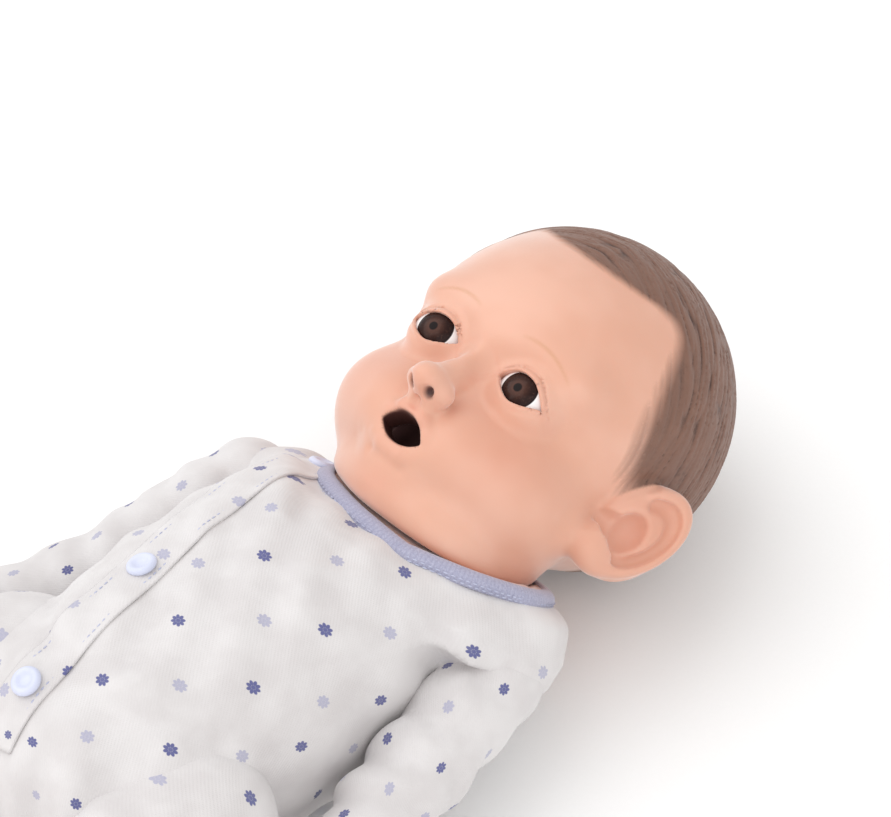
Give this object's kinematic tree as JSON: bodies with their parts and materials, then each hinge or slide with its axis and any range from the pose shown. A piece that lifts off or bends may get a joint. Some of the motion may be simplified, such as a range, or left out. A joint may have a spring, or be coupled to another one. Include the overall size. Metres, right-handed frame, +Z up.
{
  "type": "interactive baby doll",
  "caption": "Newborn-size vinyl baby doll lying on its back in a snap-front printed romper, with turning head, hinged limbs and battery sound unit.",
  "frame": {"origin": "on the floor plane under the middle of the doll's back, with the doll lying on its back", "axes": "+X to the doll's left, +Y from the feet to the crown, +Z up out of its front"},
  "size_m": [0.1846, 0.3849, 0.1152],
  "materials": {
    "skin_vinyl": "soft satin vinyl",
    "eye_acrylic": "polished dark brown",
    "mouth_silicone": "matt dark",
    "romper_cotton": "off-white printed cotton gauze",
    "trim_rib": "pale blue rib knit",
    "snap_plastic": "satin",
    "white_plastic": "moulded",
    "dark_plastic": "moulded",
    "board_green": "solder mask",
    "steel": "plated",
    "battery_wrap": "printed wrap without text",
    "wire_red": "insulation"
  },
  "bodies": {
    "torso": {"battery_1": "battery_wrap", "battery_2": "battery_wrap", "battery_3": "battery_wrap", "battery_box": "white_plastic", "battery_contact_bottom": "steel", "battery_contact_top": "steel", "battery_cover": "white_plastic", "battery_cover_screw": "steel", "front_placket": "romper_cotton", "main_board": "board_green", "microphone": "steel", "neck_plug": "white_plastic", "neckband": "trim_rib", "power_switch_case": "steel", "romper_body": "romper_cotton", "romper_snap_1": "snap_plastic", "romper_snap_2": "snap_plastic", "romper_snap_3": "snap_plastic", "speaker_cone": "dark_plastic", "speaker_frame": "steel", "speaker_lead": "wire_red", "speaker_magnet": "steel", "tilt_sensor": "steel", "torso_back_shell": "white_plastic", "torso_front_shell": "white_plastic", "torso_screw_1": "steel", "torso_screw_2": "steel", "torso_screw_3": "steel", "torso_screw_4": "steel", "tummy_switch": "board_green"},
    "head": {"head_shell": "skin_vinyl", "left_eye": "eye_acrylic", "right_eye": "eye_acrylic", "left_eye_cup": "white_plastic", "right_eye_cup": "white_plastic", "mouth_liner": "mouth_silicone", "feeding_sensor": "board_green"},
    "left_arm": {"left_arm": "skin_vinyl", "left_sleeve": "romper_cotton", "left_cuff": "trim_rib", "left_shoulder_pin": "white_plastic"},
    "right_arm": {"right_arm": "skin_vinyl", "right_sleeve": "romper_cotton", "right_cuff": "trim_rib", "right_shoulder_pin": "white_plastic"},
    "left_leg": {"left_leg": "skin_vinyl", "left_leg_sleeve": "romper_cotton", "left_ankle_cuff": "trim_rib", "left_hip_pin": "white_plastic"},
    "right_leg": {"right_leg": "skin_vinyl", "right_leg_sleeve": "romper_cotton", "right_ankle_cuff": "trim_rib", "right_hip_pin": "white_plastic"},
    "tummy_button": {"tummy_button": "white_plastic"},
    "power_switch": {"power_switch_knob": "dark_plastic"}
  },
  "joints": [
    {"name": "head_turn", "type": "hinge", "parent": "torso", "child": "head", "pos_m": [0, 0.0681, 0.03935], "axis": [0, 0.7193, 0.6947], "range_deg": [-75, 75]},
    {"name": "left_shoulder", "type": "hinge", "parent": "torso", "child": "left_arm", "pos_m": [0.049, 0.05, 0.042], "axis": [-1, 0, 0], "range_deg": [-30, 100]},
    {"name": "right_shoulder", "type": "hinge", "parent": "torso", "child": "right_arm", "pos_m": [-0.049, 0.05, 0.042], "axis": [-1, 0, 0], "range_deg": [-30, 100]},
    {"name": "left_hip", "type": "hinge", "parent": "torso", "child": "left_leg", "pos_m": [0.0273, -0.066, 0.044], "axis": [-1, 0, 0], "range_deg": [-15, 90]},
    {"name": "right_hip", "type": "hinge", "parent": "torso", "child": "right_leg", "pos_m": [-0.0273, -0.066, 0.044], "axis": [-1, 0, 0], "range_deg": [-15, 90]},
    {"name": "tummy_press", "type": "slide", "parent": "torso", "child": "tummy_button", "axis": [0, 0, -1], "range_m": [0, 0.0012], "stiffness_N_per_m": 1200},
    {"name": "power_slide", "type": "slide", "parent": "torso", "child": "power_switch", "axis": [1, 0, 0], "range_m": [0, 0.006]}
  ]
}
